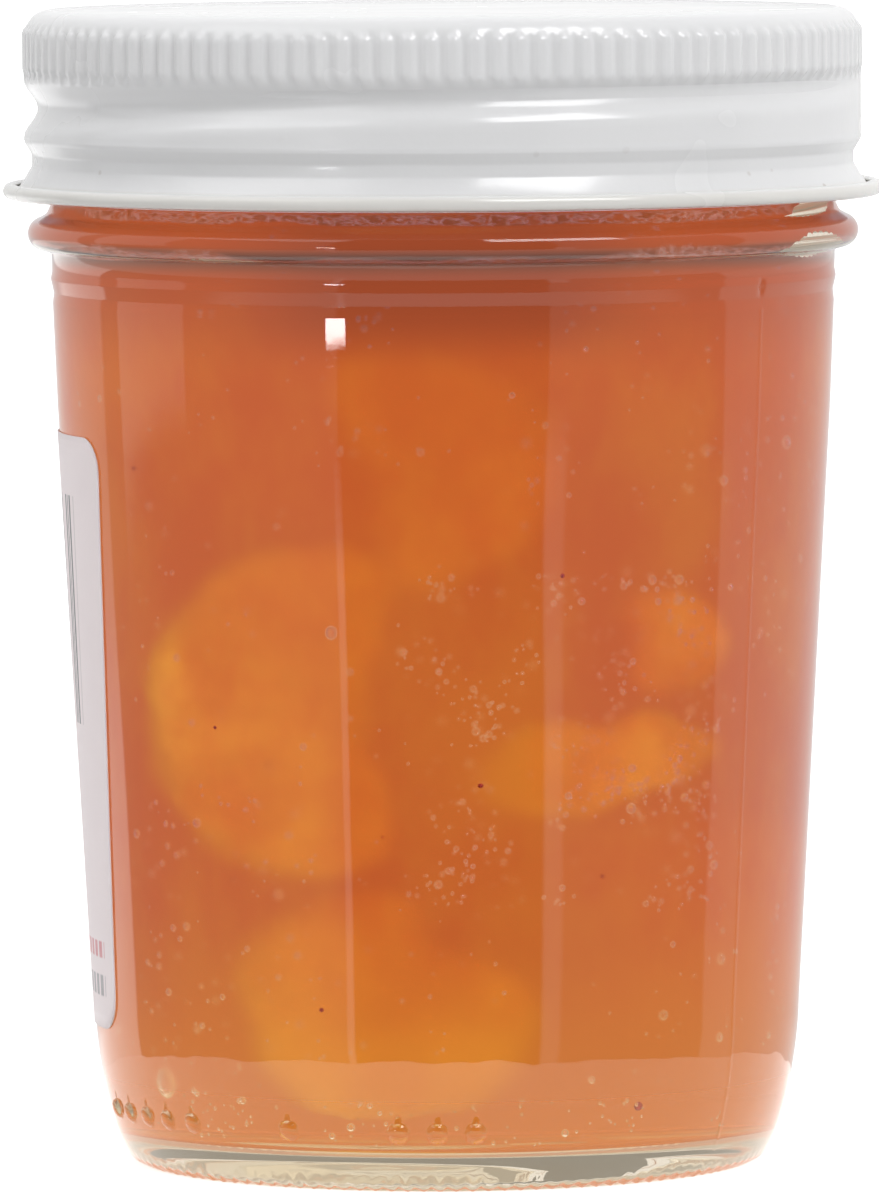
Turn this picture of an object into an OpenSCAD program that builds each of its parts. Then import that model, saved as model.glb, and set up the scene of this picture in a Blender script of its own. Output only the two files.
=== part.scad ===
// A small glass preserving jar: tapered glass body, one-piece metal screw lid with its sealing
// ring, a paper label, and a filling of peach slices set in jelly.
// The origin is at the centre of the foot, +Z is up and the front faces -Y. Sizes are in mm.

/* [Glass jar] */
// Diameter of the foot where it meets the table
foot_d = 53.2; // [40:0.1:80]
// Diameter at the top of the rounded heel
heel_d = 60.4; // [45:0.1:90]
// Height of the rounded heel
heel_h = 13.7; // [5:0.1:25]
// Diameter of the wall part-way up, where its taper eases
wall_mid_d = 66.1; // [50:0.1:100]
// Height where the taper eases
wall_mid_z = 65.1; // [30:0.1:70]
// Diameter of the wall at its top
body_d = 66.8; // [50:0.1:100]
// Height of the wall's top
wall_top_z = 73.7; // [50:0.1:90]
// Thickness of the side wall
wall_t = 2.4; // [1.5:0.1:4]
// Height of the inside floor
floor_z = 3.4; // [3:0.1:8]
// Depth of the hollow under the foot
push_up = 1.4; // [0.5:0.1:3]
// Diameter of the bead under the lid
bead_d = 71; // [60:0.1:110]
// Height of the bead's widest line
bead_z = 79.65; // [60:0.05:100]
// Diameter of the neck between threads
neck_d = 66.9; // [50:0.1:100]
// Diameter of the mouth
mouth_d = 60; // [40:0.1:90]
// Height of the sealing rim
rim_z = 97.5; // [80:0.1:120]
// Diameter over the glass thread
thread_d = 69.5; // [55:0.1:105]
// Rise of the thread in one turn
pitch = 4.23; // [3:0.01:6]

/* [Screw lid] */
// Diameter over the knurled band
lid_d = 71.5; // [60:0.1:110]
// Diameter over the rolled edge
curl_d = 75.2; // [62:0.1:115]
// Height of the lid's top above the table
lid_top_z = 98.7; // [80:0.1:125]
// Number of knurls round the band
knurls = 120; // [40:1:200]
// Height of the knurls
knurl_h = 3.8; // [2:0.1:8]
// Thickness of the sheet metal
metal_t = 0.25; // [0.15:0.01:0.6]

/* [Sealing liner] */
// Outside diameter of the ring
liner_d = 67.2; // [50:0.1:100]
// Width of the ring
liner_w = 4.2; // [2:0.1:8]

/* [Paper label] */
// Length of the label round the jar
label_len = 76; // [30:1:90]
// Height of the label's lower edge
label_z = 12.1; // [8:0.1:40]
// Height of the label
label_h = 50.7; // [20:0.1:55]
// Corner radius
label_r = 3; // [1:0.1:8]
// Thickness of the paper
label_t = 0.12; // [0.05:0.01:0.5]
// Angle of the label's middle, measured from +X
label_at = 135.6; // [0:0.5:360]
// Lean of the label's two ends
label_lean = 3.7; // [0:0.1:8]

/* [Filling] */
// Height the jelly is filled to
fill_z = 82; // [40:0.5:84]

/* [Hidden] */
$fn = 96;
eps = 0.01;
// running gap kept between the filling and what it touches
gap = 0.05;
// how far a slice's thin edge stays from its core line
core_line_r = 0.4;

foot_r = foot_d / 2;
heel_r = heel_d / 2;
heel_power = 1.6;
heel_steps = 10;
heel_low = 0.15;
ring_w = 2.2;
wall_r = body_d / 2;
bead_round = 1.4;
neck_r = neck_d / 2;
mouth_r = mouth_d / 2;
thread_r = thread_d / 2;
rim_round = 0.9;
// where the inside wall starts and ends its narrowing to the mouth
narrow_z = wall_top_z + 2.3;
neck_in_z = bead_z + 4.35;
floor_round = 4;
in_r = wall_r - wall_t;
in_low_r = heel_r - wall_t - 0.1;

// Height of the lid's inside ridge where it starts, on the +X side, and its size
ridge_z = 88.2;
ridge_depth = 1.17;
ridge_flat = 0.35;
ridge_half = 1.35;
ridge_start = 5;
ridge_end = 355;
ridge_steps = 70;
fade_in = 40;
fade_out = 25;
bulge_r = lid_d / 2 + 0.02;
band_r = lid_d / 2 - 0.2;
band_z = 93.2;
shoulder_round = 1.85;
crease_r = 33.4;
panel_drop = 0.15;
recess_r = 35.1;
recess_z = 86.2;
curl_round = 0.65;
curl_z = 83.3;

// The glass thread lies just above the lid's ridge, so that the ridge pulls against it
thread_lift = 1.55;
thread_turn = 380;
thread_steps = 64;
thread_fade = 0.06;
thread_half = 1.1;
thread_flat = 0.4;

function reversed(p) = [for (i = [len(p) - 1 : -1 : 0]) p[i]];
function arc(cx, cz, r, a0, a1, n) =
    [for (i = [0 : n]) [cx + r * cos(a0 + (a1 - a0) * i / n), cz + r * sin(a0 + (a1 - a0) * i / n)]];
function heel_at(z) =
    foot_r + (heel_r - foot_r) * pow(1 - pow(max(0, 1 - z / heel_h), heel_power), 1 / heel_power);
function wall_at(z) =
    heel_r + (wall_mid_d / 2 - heel_r) * (z - heel_h) / (wall_mid_z - heel_h);

// Inside of the jar from the middle of the floor up to the neck, shrunk by g
function inside_points(g) = concat(
    [[0, floor_z + g]],
    arc(in_low_r - floor_round - g, floor_z + floor_round + g, floor_round, -90, 0, 10),
    [[in_r - g, narrow_z], [mouth_r - g, neck_in_z]]
);

outside_points = concat(
    [[foot_r - 0.4, 0]],
    [for (i = [0 : heel_steps]) let (z = heel_low + (heel_h - heel_low) * i / heel_steps) [heel_at(z), z]],
    [[wall_mid_d / 2, wall_mid_z], [wall_r, wall_top_z], [wall_r - 0.1, wall_top_z + 0.9]],
    [[wall_r + 0.15, wall_top_z + 2.2], [wall_r + 0.05, wall_top_z + 2.6]],
    [[wall_r + 0.1, bead_z - 1.9], [wall_r + 0.5, bead_z - 1.3]],
    [[wall_r + 0.8, bead_z + 1.25], [neck_r + 0.3, bead_z + 1.75], [neck_r, bead_z + 2.4]],
    arc(neck_r - rim_round, rim_z - rim_round, rim_round, 0, 90, 5)
);

underside_points = [
    [foot_r - 0.4 - ring_w, 0],
    [foot_r - 1.1 - ring_w, 0.5],
    [foot_r - 3.2 - ring_w, push_up - 0.3],
    [foot_r - 9 - ring_w, push_up],
    [0, push_up]
];

module glass_solid() {
    rotate_extrude() {
        polygon(concat(
            outside_points,
            arc(mouth_r + rim_round, rim_z - rim_round, rim_round, 90, 180, 5),
            reversed(inside_points(0)),
            reversed(underside_points)
        ));
        translate([bead_d / 2 - bead_round, bead_z])
            circle(r = bead_round, $fn = 48);
    }
}

// A trapezoid thread built from short turned pieces, each a little higher than the last.
// It sinks into the neck at both ends.
module glass_thread() {
    step = thread_turn / thread_steps;
    root_r = neck_r - 0.6;
    sunk_r = neck_r - 0.25;
    for (i = [0 : thread_steps - 1]) {
        t = (i + 0.5) / thread_steps;
        r = sunk_r + (thread_r - sunk_r) * min(1, t / thread_fade, (1 - t) / thread_fade);
        rotate([0, 0, i * step + 3])
            translate([0, 0, ridge_z + thread_lift + pitch * i * step / 360])
                rotate_extrude(angle = step + eps)
                    polygon([
                        [root_r, -thread_half], [r, -thread_flat],
                        [r, thread_flat], [root_r, thread_half]
                    ]);
    }
}

// Small raised mould dots just above the foot, by angle from the front
dot_angles = [-75, -68, -61, -54.5, -47.8, -27.4, -8.2, -1.7, 4.6];
dot_z = 5.1;
dot_r = 0.8;

module mould_dots() {
    for (a = dot_angles)
        rotate([0, 0, a - 90])
            translate([heel_at(dot_z) - 0.35, 0, dot_z])
                sphere(r = dot_r, $fn = 24);
}

module glass_jar() {
    color([0.80, 0.86, 0.82, 0.35])
        union() {
            glass_solid();
            glass_thread();
            mould_dots();
        }
}

// Panel, shoulder, band, bulge, recess, flare and outward curl, as one sheet
module lid_sheet() {
    t = metal_t;
    panel_z = lid_top_z - panel_drop;
    cx = curl_d / 2 - curl_round;
    air_side = concat(
        [[0, panel_z], [crease_r - 0.2, panel_z]],
        arc(band_r - shoulder_round, lid_top_z - shoulder_round, shoulder_round, 90, 0, 8),
        [
            [band_r, band_z], [bulge_r, band_z - 0.3], [bulge_r, recess_z + 1.4],
            [bulge_r - 0.12, recess_z + 1.05], [bulge_r - 0.42, recess_z + 0.65],
            [recess_r + 0.05, recess_z + 0.3], [recess_r, recess_z], [recess_r, recess_z - 0.65],
            [recess_r + 0.11, recess_z - 1.1], [recess_r + 0.31, recess_z - 1.48],
            [recess_r + 0.65, recess_z - 1.91]
        ],
        arc(cx, curl_z, curl_round - t + 0.02, 215, 500, 18)
    );
    glass_side = concat(
        [[0, panel_z - t], [crease_r - 0.4, panel_z - t]],
        arc(band_r - shoulder_round, lid_top_z - shoulder_round, shoulder_round - t, 80, 0, 8),
        [
            [band_r - t, band_z - 0.1], [bulge_r - t, band_z - 0.4], [bulge_r - t, recess_z + 1.5],
            [bulge_r - t - 0.1, recess_z + 1.15], [bulge_r - t - 0.38, recess_z + 0.8],
            [recess_r - t + 0.05, recess_z + 0.35], [recess_r - t, recess_z],
            [recess_r - t, recess_z - 0.7], [recess_r - 0.12, recess_z - 1.2],
            [recess_r + 0.1, recess_z - 1.6], [recess_r + 0.46, recess_z - 2.04]
        ],
        arc(cx, curl_z, curl_round, 215, 500, 18)
    );
    rotate_extrude()
        polygon(concat(air_side, reversed(glass_side)));
}

module knurl_band() {
    low_r = band_r + 0.04;
    high_r = lid_d / 2;
    step = 360 / knurls;
    shape = [[0.06, low_r], [0.2, high_r - 0.05], [0.5, high_r], [0.8, high_r - 0.05], [0.94, low_r]];
    translate([0, 0, band_z + 0.05])
        linear_extrude(height = knurl_h)
            difference() {
                polygon([
                    for (i = [0 : knurls - 1])
                        for (s = shape)
                            [s[1] * cos((i + s[0]) * step), s[1] * sin((i + s[0]) * step)]
                ]);
                circle(r = band_r - 0.1);
            }
}

// One turn of a helix from short turned pieces, fading in and out. Each has its crest at radius
// crest and its flanks run out to radius foot.
module lid_helix(crest, foot, half, flat) {
    step = (ridge_end - ridge_start) / ridge_steps;
    for (i = [0 : ridge_steps - 1]) {
        a = ridge_start + i * step;
        mid = a + step / 2;
        c = ridge_z + pitch * mid / 360;
        strength = min(1, (mid - ridge_start) / fade_in, (ridge_end - mid) / fade_out);
        r = crest + ridge_depth * (1 - strength);
        high = min(c + half, band_z - 0.45);
        rotate([0, 0, a])
            rotate_extrude(angle = step + eps)
                polygon([[foot, c - half], [r, c - flat], [r, min(c + flat, high - 0.3)], [foot, high]]);
    }
}

module screw_cap() {
    in_r = bulge_r - metal_t;
    color([0.95, 0.95, 0.93])
        difference() {
            union() {
                lid_sheet();
                knurl_band();
                lid_helix(in_r - ridge_depth, in_r + 0.08, ridge_half + 0.08, ridge_flat);
            }
            lid_helix(bulge_r - ridge_depth, bulge_r + 0.1, ridge_half, ridge_flat);
        }
}

module sealing_liner() {
    top_z = lid_top_z - panel_drop - metal_t;
    color([0.88, 0.87, 0.82])
        rotate_extrude()
            translate([liner_d / 2 - liner_w, rim_z])
                square([liner_w, top_z - rim_z]);
}

// A local frame on the glass: x points out, y runs round the jar, z is up
module on_wall(a, z) {
    rotate([0, 0, a])
        translate([wall_at(z), 0, z])
            children();
}

// What is cut from the label beyond one end, side = 1 or -1
module label_end(side) {
    mid_z = label_z + label_h / 2;
    half = label_len / 2 / wall_at(mid_z) * 180 / PI;
    box = 60;
    on_wall(label_at + side * half, mid_z)
        rotate([-label_lean, 0, 0]) {
            translate([-5, side > 0 ? 0 : -box, -box])
                cube([10, box, 2 * box]);
            for (up = [-1, 1])
                translate([0, -side * label_r, up * (label_h / 2 - label_r)])
                    difference() {
                        translate([-5, side > 0 ? 0 : -2 * label_r, up > 0 ? 0 : -2 * label_r])
                            cube([10, 2 * label_r, 2 * label_r]);
                        rotate([0, 90, 0])
                            cylinder(r = label_r, h = 30, center = true);
                    }
        }
}

module paper_label() {
    low_r = wall_at(label_z) + 0.04;
    high_r = wall_at(label_z + label_h) + 0.04;
    spread = 170;
    color([0.84, 0.85, 0.87])
        difference() {
            rotate([0, 0, label_at - spread / 2])
                rotate_extrude(angle = spread)
                    polygon([
                        [low_r, label_z],
                        [low_r + label_t, label_z],
                        [high_r + label_t, label_z + label_h],
                        [high_r, label_z + label_h]
                    ]);
            label_end(1);
            label_end(-1);
        }
}

// Peach slices. Each is a wedge turned round its core line, with these values in order:
// place of the core line's middle, lean of the core line, turn about the core line,
// skin radius, distance of the skin's centre from the core line, core radius, wedge angle
slices = [
    [[-3, -15, 40.2], [0, 0, 0], 135, 13.8, 6, 4, 45],
    [[1.5, -12.8, 22.2], [0, -50, 0], 137, 10.2, 8.7, 3, 43],
    [[-7, -12.5, 59.5], [0, -12, 0], 0, 10.5, 4.5, 3, 45],
    [[11.3, -12.5, 45.8], [0, 0, 0], 0, 5.5, 4, 1.5, 45],
    [[11, -5.5, 35.5], [0, 82, 0], -111, 9.3, 3.2, 2.5, 42],
    [[6, 9, 20.5], [0, 0, 0], 22, 10, 5, 3.5, 45],
    [[2, 9, 62], [0, 10, 0], 120, 11, 5.5, 3.5, 36]
];
// How much larger than its slice each hollow in the jelly is
hollow_scale = 1.02;
// how much smaller its core side is
hollow_core = 0.3;

module slice_shape(s, grow = 1, spare = 0) {
    skin = s[3];
    off = s[4];
    turn = s[6];
    mid = [(off + skin / 3) * cos(turn / 2), (off + skin / 3) * sin(turn / 2), 0];
    translate(s[0])
        rotate(s[1])
            rotate([0, 0, s[2]])
                translate(mid)
                    scale(grow)
                        translate(-mid)
                            rotate_extrude(angle = turn)
                                difference() {
                                    intersection() {
                                        translate([off, 0])
                                            circle(r = skin);
                                        translate([core_line_r, -skin])
                                            square([2 * skin + off, 2 * skin]);
                                    }
                                    circle(r = s[5] - spare);
                                }
}

module peach_slice(i) {
    color([0.93, 0.62, 0.20])
        slice_shape(slices[i - 1]);
}

module jelly() {
    color([0.86, 0.45, 0.16, 0.6])
        difference() {
            intersection() {
                rotate_extrude()
                    polygon(concat(inside_points(gap), [[0, neck_in_z]]));
                cylinder(h = fill_z, r = wall_r);
            }
            for (s = slices)
                slice_shape(s, hollow_scale, hollow_core);
        }
}

glass_jar();
screw_cap();
sealing_liner();
paper_label();
jelly();
peach_slice(1);  // peach_slice_1
peach_slice(2);  // peach_slice_2
peach_slice(3);  // peach_slice_3
peach_slice(4);  // peach_slice_4
peach_slice(5);  // peach_slice_5
peach_slice(6);  // peach_slice_6
peach_slice(7);  // peach_slice_7
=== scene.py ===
"""A small glass preserving jar of peach slices in jelly, with a white metal screw lid and a paper label.

Every length in the script is in millimetres until a mesh is made, then in metres.
The front of the jar faces -Y, and angles round the jar are measured from +X, so the front is at 270 degrees.
"""

import math

import bmesh
import bpy
import numpy as np
from mathutils import Matrix, Vector, noise


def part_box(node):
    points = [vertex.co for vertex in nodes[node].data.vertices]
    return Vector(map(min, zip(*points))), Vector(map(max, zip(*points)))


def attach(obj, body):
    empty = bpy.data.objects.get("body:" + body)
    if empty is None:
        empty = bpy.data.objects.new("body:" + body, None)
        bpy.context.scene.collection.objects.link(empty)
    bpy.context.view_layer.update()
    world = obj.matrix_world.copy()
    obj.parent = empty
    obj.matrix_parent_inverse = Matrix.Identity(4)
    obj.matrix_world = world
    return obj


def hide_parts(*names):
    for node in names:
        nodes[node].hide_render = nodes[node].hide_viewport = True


MM = 0.001
FRONT = 270.0

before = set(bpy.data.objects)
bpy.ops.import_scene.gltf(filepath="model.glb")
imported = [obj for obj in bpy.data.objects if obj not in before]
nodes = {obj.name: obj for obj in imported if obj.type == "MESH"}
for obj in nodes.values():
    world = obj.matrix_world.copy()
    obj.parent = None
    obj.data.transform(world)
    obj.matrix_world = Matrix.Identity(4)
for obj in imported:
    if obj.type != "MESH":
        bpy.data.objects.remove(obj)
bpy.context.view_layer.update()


def box_mm(node):
    """Lowest and highest corner of a CAD node, in millimetres."""
    low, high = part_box(node)
    return np.array(low) / MM, np.array(high) / MM


# ---------------------------------------------------------------- sizes, from the frame

_, glass_high = box_mm("glass_jar")
cap_low, cap_high = box_mm("screw_cap")
liner_low, liner_high = box_mm("sealing_liner")
label_low, label_high = box_mm("paper_label")
jelly_low, jelly_high = box_mm("jelly")

RIM_Z = glass_high[2]
LID_TOP = cap_high[2]
CURL_R = cap_high[0]
CURL_BOTTOM = cap_low[2]
FILL_Z = jelly_high[2]
FLOOR_Z = jelly_low[2]

# Sizes that a box can't give. They are the CAD source's own.
FOOT_R = 26.6
HEEL_R = 30.2
HEEL_H = 13.7
HEEL_POWER = 1.6
WALL_MID_R = 33.05
WALL_MID_Z = 65.1
WALL_R = 33.4
WALL_TOP = 73.7
WALL_T = 2.4
INSIDE_R = 27.7
FLOOR_ROUND = 4.0
NARROW_Z = 76.0
NECK_R = 33.45
NECK_Z = 84.0
MOUTH_R = 30.0
PITCH = 4.23
RIDGE_Z = 88.2
RIDGE_DEPTH = 1.17
GROOVE_HALF = 2.4
THREAD_LIFT = 1.55
THREAD_R = 34.75
BAND_R = 35.55
BULGE_R = 35.77
BAND_Z = 93.2
RECESS_R = 35.1
RECESS_Z = 86.2
SHEET_T = 0.25
KNURLS = 120
LABEL_AT = 135.6
LABEL_LEN = 76.0
LABEL_LEAN = 3.7
LABEL_CORNER = 3.0


def smoothstep(low, high, x):
    t = np.clip((x - low) / (high - low), 0.0, 1.0)
    return t * t * (3.0 - 2.0 * t)


def wall_at(z):
    return HEEL_R + (WALL_MID_R - HEEL_R) * (z - HEEL_H) / (WALL_MID_Z - HEEL_H)


def heel_at(z):
    return FOOT_R + (HEEL_R - FOOT_R) * (1 - max(0.0, 1 - z / HEEL_H) ** HEEL_POWER) ** (1 / HEEL_POWER)


def inner_wall(z):
    """Inside radius of the glass, rounded into the floor."""
    start = FLOOR_Z + FLOOR_ROUND
    drop = start - np.minimum(z, start)
    low = INSIDE_R - FLOOR_ROUND + np.sqrt(np.maximum(0, FLOOR_ROUND**2 - drop**2))
    side = INSIDE_R + (WALL_R - WALL_T - INSIDE_R) * (z - start) / (NARROW_Z - start)
    return np.where(z < start, low, np.minimum(side, MOUTH_R + 0.6))


# ---------------------------------------------------------------- mesh helpers

def arc(cx, cz, r, a0, a1, n):
    """Points on a circle in the profile plane, from angle a0 to a1 in degrees."""
    turns = [math.radians(a0 + (a1 - a0) * i / n) for i in range(n + 1)]
    return [(cx + r * math.cos(t), cz + r * math.sin(t)) for t in turns]


FILLET_STEPS = 5


def rounded(points):
    """A polyline from (r, z) or (r, z, fillet) points, with an arc at each point that states a fillet."""
    out = []
    for i, p in enumerate(points):
        if len(p) == 2 or i in (0, len(points) - 1):
            out.append((p[0], p[1]))
            continue
        here = Vector(p[:2])
        back = Vector(points[i - 1][:2]) - here
        ahead = Vector(points[i + 1][:2]) - here
        half = back.angle(ahead) / 2
        cut = min(p[2] / math.tan(half), 0.49 * back.length, 0.49 * ahead.length)
        start = here + back.normalized() * cut
        end = here + ahead.normalized() * cut
        for k in range(FILLET_STEPS + 1):
            t = k / FILLET_STEPS
            q = (1 - t) ** 2 * start + 2 * t * (1 - t) * here + t * t * end
            out.append((q.x, q.y))
    return out


def refined(points, longest):
    """The same polyline with no step longer than longest."""
    out = [points[0]]
    for a, b in zip(points, points[1:]):
        n = max(1, math.ceil(math.dist(a, b) / longest))
        out += [(a[0] + (b[0] - a[0]) * k / n, a[1] + (b[1] - a[1]) * k / n) for k in range(1, n + 1)]
    return out


def mesh_object(name, verts_mm, faces, material):
    """A smooth-shaded object made of corners in millimetres."""
    mesh = bpy.data.meshes.new(name)
    mesh.from_pydata([tuple(v) for v in np.asarray(verts_mm, float) * MM], [], faces)
    mesh.materials.append(material)
    mesh.polygons.foreach_set("use_smooth", [True] * len(mesh.polygons))
    mesh.update()
    obj = bpy.data.objects.new(name, mesh)
    bpy.context.scene.collection.objects.link(obj)
    return obj


def lathe(name, profile, angles, material, shape=None, closed=False):
    """Turns a profile of (r, z) points round +Z. The profile runs so that the solid is on its left.
    shape(r, z, a) gives the moved r and z of each point, all as arrays of rows by angles."""
    r = np.array([p[0] for p in profile])[:, None] + np.zeros(len(angles))[None, :]
    z = np.array([p[1] for p in profile])[:, None] + np.zeros(len(angles))[None, :]
    a = np.radians(np.asarray(angles))[None, :] + np.zeros(len(profile))[:, None]
    if shape is not None:
        r, z = shape(r, z, np.degrees(a))
    grid = np.stack([r * np.cos(a), r * np.sin(a), z], -1)
    rows, cols = r.shape
    verts = list(grid.reshape(-1, 3))
    faces = []
    first, last = 0, rows - 1
    if not closed and profile[0][0] < 1e-6:
        verts.append(np.array([0, 0, z[0].mean()]))
        pole = len(verts) - 1
        faces += [(pole, cols + (j + 1) % cols, cols + j) for j in range(cols)]
        first = 1
    if not closed and profile[-1][0] < 1e-6:
        verts.append(np.array([0, 0, z[-1].mean()]))
        pole = len(verts) - 1
        base = (rows - 2) * cols
        faces += [(pole, base + j, base + (j + 1) % cols) for j in range(cols)]
        last = rows - 2
    pairs = [(i, i + 1) for i in range(first, last)]
    if closed:
        pairs.append((rows - 1, 0))
    for i, k in pairs:
        for j in range(cols):
            n = (j + 1) % cols
            faces.append((i * cols + j, i * cols + n, k * cols + n, k * cols + j))
    used = sorted({v for f in faces for v in f})
    index = {v: i for i, v in enumerate(used)}
    faces = [tuple(index[v] for v in f) for f in faces]
    obj = mesh_object(name, [verts[v] for v in used], faces, material)
    outward(obj)
    return obj


def outward(obj):
    """Turns every face to point out of its solid."""
    bm = bmesh.new()
    bm.from_mesh(obj.data)
    bmesh.ops.recalc_face_normals(bm, faces=bm.faces)
    bm.to_mesh(obj.data)
    bm.free()


def evaluated(obj):
    """The object's mesh with its modifiers applied."""
    graph = bpy.context.evaluated_depsgraph_get()
    made = bpy.data.meshes.new_from_object(obj.evaluated_get(graph))
    obj.modifiers.clear()
    obj.data = made
    return made


def paint(mesh, name, values):
    """Gives each corner of the mesh a value that a material can read."""
    layer = mesh.attributes.new(name, "FLOAT", "POINT")
    layer.data.foreach_set("value", np.asarray(values, np.float32))


def even_angles(count):
    return np.arange(count) * 360.0 / count


# ---------------------------------------------------------------- materials

class Graph:
    """A node tree with short calls for what the materials below need."""

    def __init__(self, tree):
        self.tree = tree
        tree.nodes.clear()

    def node(self, kind, **inputs):
        """A node, with inputs set or linked by name. An underscore in a name stands for a space."""
        n = self.tree.nodes.new("ShaderNode" + kind)
        for key, value in inputs.items():
            self.put(n.inputs[key.replace("_", " ")], value)
        return n

    def put(self, socket, value):
        if isinstance(value, bpy.types.NodeSocket):
            self.tree.links.new(value, socket)
        elif isinstance(value, tuple) and len(value) == 3 and socket.type == "RGBA":
            socket.default_value = (*value, 1)
        else:
            socket.default_value = value

    def math(self, operation, *values):
        n = self.tree.nodes.new("ShaderNodeMath")
        n.operation = operation
        for socket, value in zip(n.inputs, values):
            self.put(socket, value)
        return n.outputs[0]

    def ramp(self, x, low, high, to_low=0.0, to_high=1.0):
        """A smooth step from to_low to to_high as x goes from low to high."""
        n = self.node("MapRange", Value=x, From_Min=low, From_Max=high, To_Min=to_low, To_Max=to_high)
        n.interpolation_type = "SMOOTHSTEP"
        return n.outputs[0]

    def inside(self, x, low, high, edge):
        """1 where x lies between low and high, 0 outside, blended over edge on each side."""
        rise = self.ramp(x, low - edge, low + edge)
        fall = self.ramp(x, high - edge, high + edge, 1.0, 0.0)
        return self.math("MULTIPLY", rise, fall)

    def blend(self, factor, a, b):
        """A colour between a and b."""
        n = self.tree.nodes.new("ShaderNodeMix")
        n.data_type = "RGBA"
        self.put(n.inputs[0], factor)
        self.put(n.inputs[6], a)
        self.put(n.inputs[7], b)
        return n.outputs[2]

    def mix(self, factor, a, b):
        """A shader between a and b."""
        n = self.tree.nodes.new("ShaderNodeMixShader")
        for socket, value in zip(n.inputs, (factor, a, b)):
            self.put(socket, value)
        return n.outputs[0]

    def add(self, a, b):
        """Two shaders, each at full strength."""
        n = self.tree.nodes.new("ShaderNodeAddShader")
        for socket, value in zip(n.inputs, (a, b)):
            self.put(socket, value)
        return n.outputs[0]

    def haze(self, clearness, density, colour, strength):
        """A volume that takes light up and glows, and scatters nothing."""
        absorb = self.node("VolumeAbsorption", Color=clearness, Density=density)
        glow = self.node("Emission", Color=colour, Strength=strength)
        return self.add(absorb.outputs[0], glow.outputs[0])

    def vector(self, operation, *values):
        """The value that a vector operation gives."""
        n = self.tree.nodes.new("ShaderNodeVectorMath")
        n.operation = operation
        for socket, value in zip(n.inputs, values):
            self.put(socket, value)
        return n.outputs["Value"]

    def position(self, stretch=(1, 1, 1)):
        """The place in the object's own space, in metres, scaled by stretch."""
        here = self.node("TexCoord").outputs["Object"]
        return self.node("Mapping", Vector=here, Scale=stretch).outputs[0]

    def noise(self, vector, scale, detail=3.0, roughness=0.5):
        n = self.node("TexNoise", Vector=vector, Scale=scale, Detail=detail, Roughness=roughness)
        return n.outputs[0]

    def painted(self, name):
        """A value that the mesh carries at each corner."""
        n = self.node("Attribute")
        n.attribute_name = name
        return n.outputs["Fac"]

    def bump(self, height, strength, distance):
        return self.node("Bump", Height=height, Strength=strength, Distance=distance).outputs[0]


def material(name, build):
    """A material whose node tree is made by build(graph), which gives the surface and the volume."""
    m = bpy.data.materials.new(name)
    m.use_nodes = True
    g = Graph(m.node_tree)
    surface, volume = build(g)
    out = g.node("OutputMaterial", Surface=surface)
    if volume is not None:
        g.put(out.inputs["Volume"], volume)
    return m


def lets_lamps_through(g, surface, tint):
    """Clear stuff casts no hard shadow: a shadow ray sees it as tinted air."""
    shadow = g.node("LightPath").outputs["Is Shadow Ray"]
    return g.mix(shadow, surface, g.node("BsdfTransparent", Color=tint).outputs[0])


GLASS_IOR = 1.52
JELLY_IOR = 1.43


def build_glass(g):
    """Pressed soda-lime glass with the faint waves that the mould leaves."""
    waves = g.noise(g.position((1, 1, 0.35)), 75.0, 1.0)
    ripple = g.noise(g.position(), 900.0, 2.0)
    height = g.math("ADD", waves, g.math("MULTIPLY", ripple, 0.012))
    normal = g.bump(height, 1.0, 0.00012)
    glass = g.node("BsdfGlass", Color=(0.985, 0.988, 0.982), Roughness=0.0, IOR=GLASS_IOR, Normal=normal)
    return lets_lamps_through(g, glass.outputs[0], (0.95, 0.96, 0.95)), None


def build_wet_glass(g):
    """The inside of the glass where jelly touches it. The two bend light nearly alike, so it mirrors only
    light that runs along inside the glass, and there the jelly's own glow leaks in."""
    here = g.node("NewGeometry").outputs
    facing = g.math("ABSOLUTE", g.vector("DOT_PRODUCT", here["Incoming"], here["Normal"]))
    escapes = math.sqrt(1 - 1 / GLASS_IOR**2)
    trapped = g.math("MULTIPLY", g.math("LESS_THAN", facing, escapes), here["Backfacing"])
    bend = g.node("BsdfRefraction", Color=(1.0, 1.0, 1.0), Roughness=0.0, IOR=GLASS_IOR)
    bounced = g.node("BsdfGlossy", Color=(0.56, 0.53, 0.47), Roughness=0.0)
    # Painted light: the glass itself glows here, standing in for the jelly's light that leaks in.
    leaked = g.node("Emission", Color=(1.0, 0.86, 0.62), Strength=0.26)
    surface = g.mix(trapped, bend.outputs[0], g.add(bounced.outputs[0], leaked.outputs[0]))
    return lets_lamps_through(g, surface, (1.0, 1.0, 1.0)), None


# How fast the jelly takes up red, green and blue light, per metre, and the colour that deep jelly has.
HAZE = (62.0, 98.0, 150.0)
HAZE_COLOUR = (0.62, 0.18, 0.028)
JELLY_BLUR = 0.34


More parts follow.
